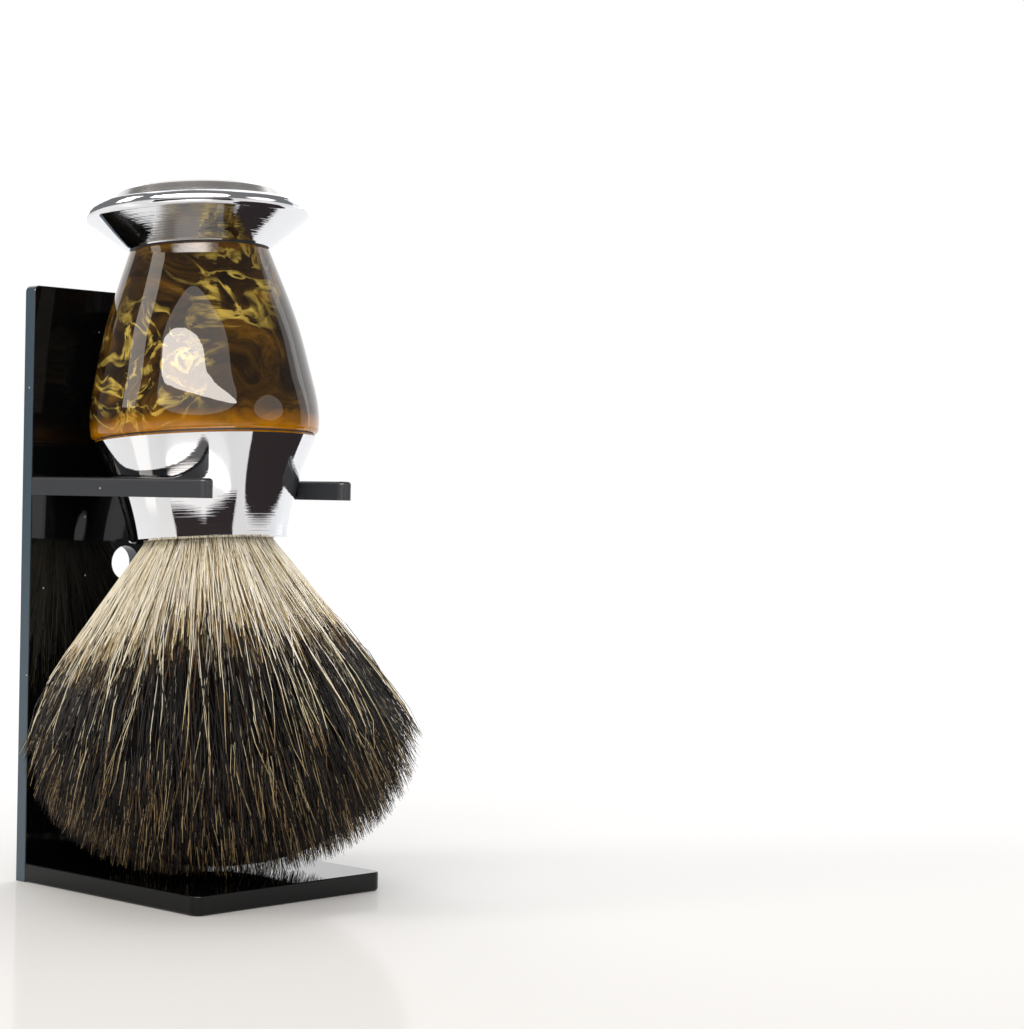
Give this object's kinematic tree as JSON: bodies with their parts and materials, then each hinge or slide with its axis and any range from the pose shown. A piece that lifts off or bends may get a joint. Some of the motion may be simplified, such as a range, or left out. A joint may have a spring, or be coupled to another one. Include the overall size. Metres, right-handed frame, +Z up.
{
  "type": "shaving brush stand",
  "caption": "Glossy black brush stand: upright plate, foot plate and forked seat, with a shaving brush of badger hair, marbled amber resin and chromed metal hung in it.",
  "frame": {"origin": "middle of the stand's footprint, on the surface it stands on", "axes": "+Z up, the fork opens towards -Y, +X to the right of a person who faces the stand"},
  "size_m": [0.062, 0.057, 0.1105],
  "materials": {
    "black_acrylic": "polished cast acrylic sheet, black",
    "chrome": "turned brass, polished and chromium plated",
    "amber_resin": "cast polyester resin, amber and brown marbled, polished",
    "black_gasket": "thin black rubber ring",
    "steel": "zinc plated steel fastener",
    "epoxy": "clear epoxy, yellowed",
    "thread": "waxed cotton thread",
    "badger_hair": "badger hair, pale root and dark tip"
  },
  "bodies": {
    "stand": {"back_plate": "black_acrylic", "base_plate": "black_acrylic", "fork_plate": "black_acrylic"},
    "brush": {"ferrule": "chrome", "ferrule_gasket": "black_gasket", "handle_body": "amber_resin", "cap_gasket": "black_gasket", "end_cap": "chrome", "cap_disc": "chrome", "tie_rod": "steel", "cap_washer": "steel", "cap_nut": "steel", "knot_plug": "epoxy", "knot_binding": "thread", "hair_knot": "badger_hair"}
  },
  "joints": [
    {"name": "brush_lift", "type": "slide", "parent": "stand", "child": "brush", "axis": [0, 0, 1], "range_m": [0, 0.011]}
  ]
}
